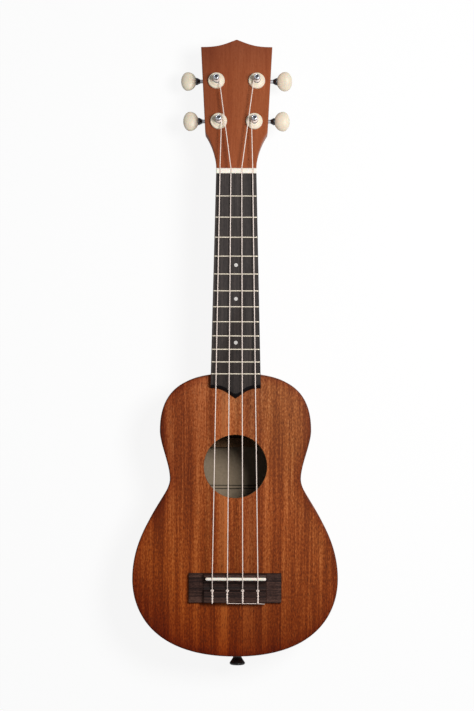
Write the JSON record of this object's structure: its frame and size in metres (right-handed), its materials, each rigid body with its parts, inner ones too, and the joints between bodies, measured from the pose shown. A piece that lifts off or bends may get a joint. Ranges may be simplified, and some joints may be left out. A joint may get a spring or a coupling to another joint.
{
  "type": "soprano ukulele",
  "caption": "Small four-string figure-eight wooden ukulele with a round soundhole, fretted neck and geared tuners, lying on its flat back.",
  "frame": {"origin": "on the back plate's flat outer face, on the centreline, about halfway along the sound box and 122.25 mm below the neck joint", "axes": "+X to the right seen from the front, +Y along the neck towards the headstock, +Z out of the face of the soundboard"},
  "size_m": [0.1784, 0.5511, 0.0714],
  "materials": {
    "body_wood": "satin",
    "inner_wood": "raw",
    "dark_wood": "satin",
    "ivory_plastic": "satin",
    "fret_metal": "polished",
    "string_nylon": "clear",
    "black_plastic": "gloss",
    "tuner_metal": "polished",
    "gear_brass": "satin",
    "cream_plastic": "gloss"
  },
  "bodies": {
    "instrument": {"soundboard": "body_wood", "back_plate": "body_wood", "side_left": "body_wood", "side_right": "body_wood", "neck": "body_wood", "neck_block": "inner_wood", "tail_block": "inner_wood", "top_lining_left": "inner_wood", "top_lining_right": "inner_wood", "back_lining_left": "inner_wood", "back_lining_right": "inner_wood", "upper_top_brace": "inner_wood", "lower_top_brace": "inner_wood", "upper_back_brace": "inner_wood", "lower_back_brace": "inner_wood", "fingerboard": "dark_wood", "bridge": "dark_wood", "nut": "ivory_plastic", "saddle": "ivory_plastic", "fret_01": "fret_metal", "fret_02": "fret_metal", "fret_03": "fret_metal", "fret_04": "fret_metal", "fret_05": "fret_metal", "fret_06": "fret_metal", "fret_07": "fret_metal", "fret_08": "fret_metal", "fret_09": "fret_metal", "fret_10": "fret_metal", "fret_11": "fret_metal", "fret_12": "fret_metal", "string_g": "string_nylon", "string_c": "string_nylon", "string_e": "string_nylon", "string_a": "string_nylon", "strap_button": "black_plastic", "tuner_plate_lower_left": "tuner_metal", "bushing_lower_left": "cream_plastic", "tuner_plate_upper_left": "tuner_metal", "bushing_upper_left": "cream_plastic", "tuner_plate_upper_right": "tuner_metal", "bushing_upper_right": "cream_plastic", "tuner_plate_lower_right": "tuner_metal", "bushing_lower_right": "cream_plastic"},
    "worm_lower_left": {"worm_shaft_lower_left": "tuner_metal", "button_lower_left": "cream_plastic"},
    "spindle_lower_left": {"gear_lower_left": "gear_brass", "post_lower_left": "tuner_metal"},
    "worm_upper_left": {"worm_shaft_upper_left": "tuner_metal", "button_upper_left": "cream_plastic"},
    "spindle_upper_left": {"gear_upper_left": "gear_brass", "post_upper_left": "tuner_metal"},
    "worm_upper_right": {"worm_shaft_upper_right": "tuner_metal", "button_upper_right": "cream_plastic"},
    "spindle_upper_right": {"gear_upper_right": "gear_brass", "post_upper_right": "tuner_metal"},
    "worm_lower_right": {"worm_shaft_lower_right": "tuner_metal", "button_lower_right": "cream_plastic"},
    "spindle_lower_right": {"gear_lower_right": "gear_brass", "post_lower_right": "tuner_metal"}
  },
  "joints": [
    {"name": "button_turn_lower_left", "type": "hinge", "parent": "instrument", "child": "worm_lower_left", "pos_m": [-0.0155, 0.34462, 0.03161], "axis": [1, 0, 0], "continuous": true},
    {"name": "post_turn_lower_left", "type": "hinge", "parent": "instrument", "child": "spindle_lower_left", "pos_m": [-0.0155, 0.34201, 0.05108], "axis": [0, 0.2079, 0.9781], "continuous": true},
    {"name": "button_turn_upper_left", "type": "hinge", "parent": "instrument", "child": "worm_upper_left", "pos_m": [-0.0177, 0.38111, 0.02386], "axis": [1, 0, 0], "continuous": true},
    {"name": "post_turn_upper_left", "type": "hinge", "parent": "instrument", "child": "spindle_upper_left", "pos_m": [-0.0177, 0.3785, 0.04333], "axis": [0, 0.2079, 0.9781], "continuous": true},
    {"name": "button_turn_upper_right", "type": "hinge", "parent": "instrument", "child": "worm_upper_right", "pos_m": [0.0177, 0.38111, 0.02386], "axis": [1, 0, 0], "continuous": true},
    {"name": "post_turn_upper_right", "type": "hinge", "parent": "instrument", "child": "spindle_upper_right", "pos_m": [0.0177, 0.3785, 0.04333], "axis": [0, 0.2079, 0.9781], "continuous": true},
    {"name": "button_turn_lower_right", "type": "hinge", "parent": "instrument", "child": "worm_lower_right", "pos_m": [0.0155, 0.34462, 0.03161], "axis": [1, 0, 0], "continuous": true},
    {"name": "post_turn_lower_right", "type": "hinge", "parent": "instrument", "child": "spindle_lower_right", "pos_m": [0.0155, 0.34201, 0.05108], "axis": [0, 0.2079, 0.9781], "continuous": true}
  ],
  "couplings": [
    {"joint": "post_turn_lower_left", "follows": "button_turn_lower_left", "ratio": -0.071429},
    {"joint": "post_turn_upper_left", "follows": "button_turn_upper_left", "ratio": -0.071429},
    {"joint": "post_turn_upper_right", "follows": "button_turn_upper_right", "ratio": 0.071429},
    {"joint": "post_turn_lower_right", "follows": "button_turn_lower_right", "ratio": 0.071429}
  ]
}
